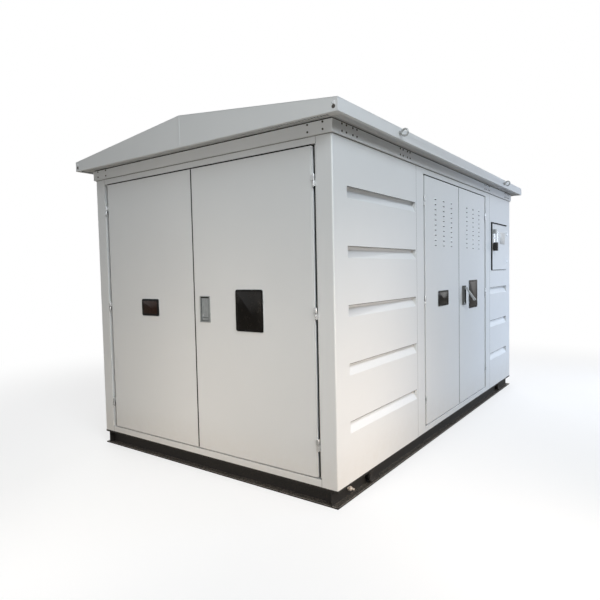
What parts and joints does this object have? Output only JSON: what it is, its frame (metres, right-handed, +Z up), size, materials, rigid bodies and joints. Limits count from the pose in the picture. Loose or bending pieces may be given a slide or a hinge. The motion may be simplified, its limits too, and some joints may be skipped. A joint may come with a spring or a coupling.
{
  "type": "compact substation enclosure",
  "caption": "Walk-up steel substation kiosk with a low gable roof, ribbed walls, louvred double doors, a meter door and a black channel base.",
  "frame": {"origin": "centre of the base's underside, on the ground", "axes": "+X along the long side, from the end with the paddle lock to the other end; +Y across, away from the louvred front; +Z up"},
  "size_m": [4.012, 2.5418, 2.383],
  "materials": {
    "cabinet_paint": "semi-gloss light grey powder coat",
    "base_paint": "matt black enamel with dust",
    "hinge_steel": "dull zinc-plated steel",
    "lock_metal": "satin die-cast zinc",
    "earth_brass": "aged brass and copper",
    "gloss_panel": "glossy black acrylic",
    "padlock_black": "black coated steel",
    "galvanised": "galvanised forged steel"
  },
  "bodies": {
    "enclosure": {"corner_post_front_left": "cabinet_paint", "corner_post_front_right": "cabinet_paint", "corner_post_back_left": "cabinet_paint", "corner_post_back_right": "cabinet_paint", "left_end_rails": "cabinet_paint", "right_end_rails": "cabinet_paint", "front_rails": "cabinet_paint", "back_rails": "cabinet_paint", "front_jambs": "cabinet_paint", "back_jambs": "cabinet_paint", "front_panel_left": "cabinet_paint", "front_panel_right": "cabinet_paint", "back_panel_left": "cabinet_paint", "back_panel_right": "cabinet_paint", "right_end_doors": "cabinet_paint", "back_doors": "cabinet_paint", "end_door_stops": "cabinet_paint", "side_door_stops": "cabinet_paint", "meter_stop": "cabinet_paint", "cornice_sides": "cabinet_paint", "cornice_ends": "cabinet_paint", "soffit": "cabinet_paint", "fascias": "cabinet_paint", "gables": "cabinet_paint", "gable_seam_strips": "cabinet_paint", "roof_formers": "cabinet_paint", "roof_front_slope": "cabinet_paint", "roof_back_slope": "cabinet_paint", "base_rails": "base_paint", "base_ends": "base_paint", "base_cross_members": "base_paint", "lifting_bosses": "base_paint", "floor_plate": "base_paint", "frame_hinge_halves": "hinge_steel", "fixed_door_hinges": "hinge_steel", "earth_studs": "earth_brass", "lifting_eyes": "galvanised"},
    "left_end_door_front": {"left_end_door_front": "cabinet_paint", "left_end_hinges_front": "hinge_steel", "sight_plate": "gloss_panel", "paddle_lock": "lock_metal"},
    "left_end_door_back": {"left_end_door_back": "cabinet_paint", "left_end_hinges_back": "hinge_steel", "end_plate": "gloss_panel"},
    "front_door_left": {"front_door_left": "cabinet_paint", "front_hinges_left": "hinge_steel", "front_plate": "gloss_panel"},
    "front_door_right": {"front_door_right": "cabinet_paint", "front_hinges_right": "hinge_steel", "tall_plate": "gloss_panel", "handle_base": "hinge_steel"},
    "meter_door": {"meter_door": "cabinet_paint", "meter_hinges": "hinge_steel", "meter_hasp": "lock_metal", "padlock_shackle": "lock_metal", "padlock_body": "padlock_black"},
    "lock_paddle": {"lock_paddle": "lock_metal"},
    "handle_hub": {"handle_hub": "lock_metal"},
    "handle_lever": {"handle_lever": "lock_metal"}
  },
  "joints": [
    {"name": "left_end_door_front_swing", "type": "hinge", "parent": "enclosure", "child": "left_end_door_front", "pos_m": [-1.9, -0.98, 1.106], "axis": [0, 0, 1], "range_deg": [0, 110]},
    {"name": "left_end_door_back_swing", "type": "hinge", "parent": "enclosure", "child": "left_end_door_back", "pos_m": [-1.9, 0.98, 1.106], "axis": [0, 0, -1], "range_deg": [0, 110]},
    {"name": "front_door_left_swing", "type": "hinge", "parent": "enclosure", "child": "front_door_left", "pos_m": [-0.608, -1.105, 1.106], "axis": [0, 0, -1], "range_deg": [0, 110]},
    {"name": "front_door_right_swing", "type": "hinge", "parent": "enclosure", "child": "front_door_right", "pos_m": [0.948, -1.105, 1.106], "axis": [0, 0, 1], "range_deg": [0, 110]},
    {"name": "meter_door_swing", "type": "hinge", "parent": "enclosure", "child": "meter_door", "pos_m": [1.7425, -1.111, 1.576], "axis": [0, 0, 1], "range_deg": [0, 110]},
    {"name": "lock_paddle_pull", "type": "hinge", "parent": "left_end_door_front", "child": "lock_paddle", "pos_m": [-1.895, -0.084, 1.187], "axis": [0, 1, 0], "range_deg": [0, 35]},
    {"name": "handle_turn", "type": "hinge", "parent": "front_door_right", "child": "handle_hub", "pos_m": [0.272, -1.137, 1.177], "axis": [0, -1, 0], "range_deg": [0, 90]},
    {"name": "handle_lift", "type": "hinge", "parent": "handle_hub", "child": "handle_lever", "pos_m": [0.272, -1.137, 1.177], "axis": [-1, 0, 0], "range_deg": [-30, 18]}
  ]
}
